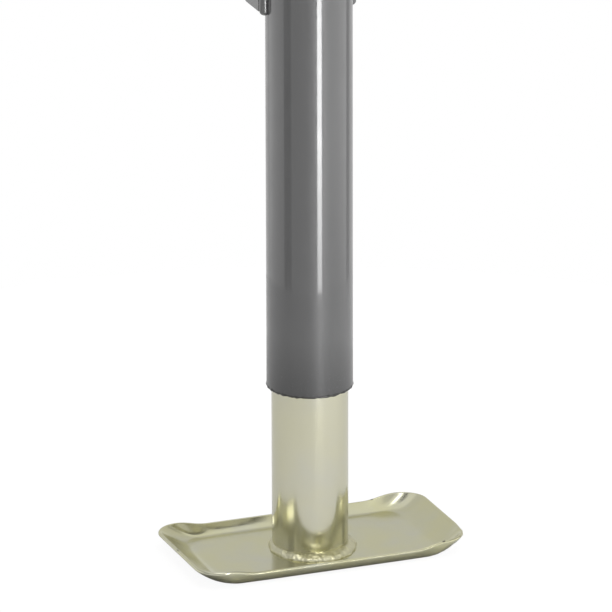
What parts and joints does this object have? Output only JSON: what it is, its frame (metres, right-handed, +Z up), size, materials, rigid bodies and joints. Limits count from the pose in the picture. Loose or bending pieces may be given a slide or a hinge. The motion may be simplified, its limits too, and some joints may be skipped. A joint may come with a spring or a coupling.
{
  "type": "trailer jack",
  "caption": "Sidewind trailer jack: round telescoping tubes on a dished foot, swivel pipe mount with plunger lock, hand crank.",
  "frame": {"origin": "middle of the foot's sole, on the axis of the tubes", "axes": "+Z up along the tubes, +Y from the jack towards the trailer along the mount pipe, +X along the foot"},
  "size_m": [0.1924, 0.2837, 0.659],
  "materials": {
    "grey_paint": "gloss",
    "yellow_zinc": "satin zinc, faint yellow passivate",
    "bright_zinc": "bright zinc",
    "machined_steel": "machined, oiled",
    "bearing_steel": "ground",
    "spring_steel": "satin",
    "brass": "satin",
    "black_plastic": "matte"
  },
  "bodies": {
    "mount": {"mount_pipe": "grey_paint", "mount_flange": "grey_paint", "retaining_ring": "bright_zinc", "swivel_washer": "bright_zinc"},
    "jack": {"outer_tube": "grey_paint", "saddle_bracket": "grey_paint", "swivel_plate": "grey_paint", "plunger_barrel": "grey_paint", "top_cap": "black_plastic", "cap_screws": "bright_zinc", "grease_fitting": "brass", "leg_key": "grey_paint", "bearing_plate": "machined_steel", "bearing_plate_pins": "grey_paint", "upper_race": "bearing_steel", "crank_bushing_front": "grey_paint", "crank_bushing_back": "grey_paint"},
    "screw": {"lead_screw": "machined_steel", "thrust_collar": "machined_steel", "collar_pin": "machined_steel", "lower_race": "bearing_steel", "gear_washer": "machined_steel", "bevel_gear": "machined_steel", "gear_pin": "machined_steel"},
    "bearing_cage": {"ball_cage": "brass", "bearing_balls": "bearing_steel"},
    "crank": {"crank_shaft": "bright_zinc", "bevel_pinion": "machined_steel", "pinion_pin": "machined_steel", "shaft_washer": "bright_zinc", "shaft_clip": "bright_zinc", "crank_arm": "grey_paint", "arm_bolt": "bright_zinc", "arm_nut": "bright_zinc", "grip_spindle": "bright_zinc", "push_nut": "bright_zinc"},
    "grip": {"grip": "black_plastic"},
    "plunger": {"plunger_pin": "bright_zinc", "plunger_clip": "bright_zinc", "plunger_spring": "spring_steel"},
    "pull_ring": {"pull_ring": "bright_zinc"},
    "leg": {"inner_tube": "yellow_zinc", "foot_plate": "yellow_zinc", "drive_nut": "machined_steel", "nut_pins": "machined_steel"}
  },
  "joints": [
    {"name": "swivel", "type": "hinge", "parent": "mount", "child": "jack", "pos_m": [0, 0.041, 0.43], "axis": [0, 1, 0], "continuous": true},
    {"name": "crank_spin", "type": "hinge", "parent": "jack", "child": "crank", "pos_m": [0, 0, 0.617], "axis": [0, 1, 0], "range_deg": [-10260.02, 30888.02]},
    {"name": "grip_spin", "type": "hinge", "parent": "crank", "child": "grip", "pos_m": [0, -0.1, 0.462], "axis": [0, 1, 0], "continuous": true},
    {"name": "screw_spin", "type": "hinge", "parent": "jack", "child": "screw", "pos_m": [0, 0, 0.56], "axis": [0, 0, 1], "range_deg": [-20592.02, 6840.02]},
    {"name": "cage_spin", "type": "hinge", "parent": "jack", "child": "bearing_cage", "pos_m": [0, 0, 0.56], "axis": [0, 0, 1], "range_deg": [-10296.01, 3420.01]},
    {"name": "leg_slide", "type": "slide", "parent": "jack", "child": "leg", "axis": [0, 0, -1], "range_m": [-0.095, 0.286]},
    {"name": "plunger_slide", "type": "slide", "parent": "jack", "child": "plunger", "axis": [0, 1, 0], "range_m": [0, 0.0078], "deforming": ["plunger_spring"]},
    {"name": "pull_ring_swing", "type": "hinge", "parent": "plunger", "child": "pull_ring", "pos_m": [0.0475, -0.002, 0.43], "axis": [1, 0, 0], "range_deg": [-110, 50]}
  ],
  "couplings": [
    {"joint": "crank_spin", "follows": "leg_slide", "rad_per_m": 1885},
    {"joint": "screw_spin", "follows": "leg_slide", "rad_per_m": -1256.6},
    {"joint": "cage_spin", "follows": "leg_slide", "rad_per_m": -628.32}
  ]
}
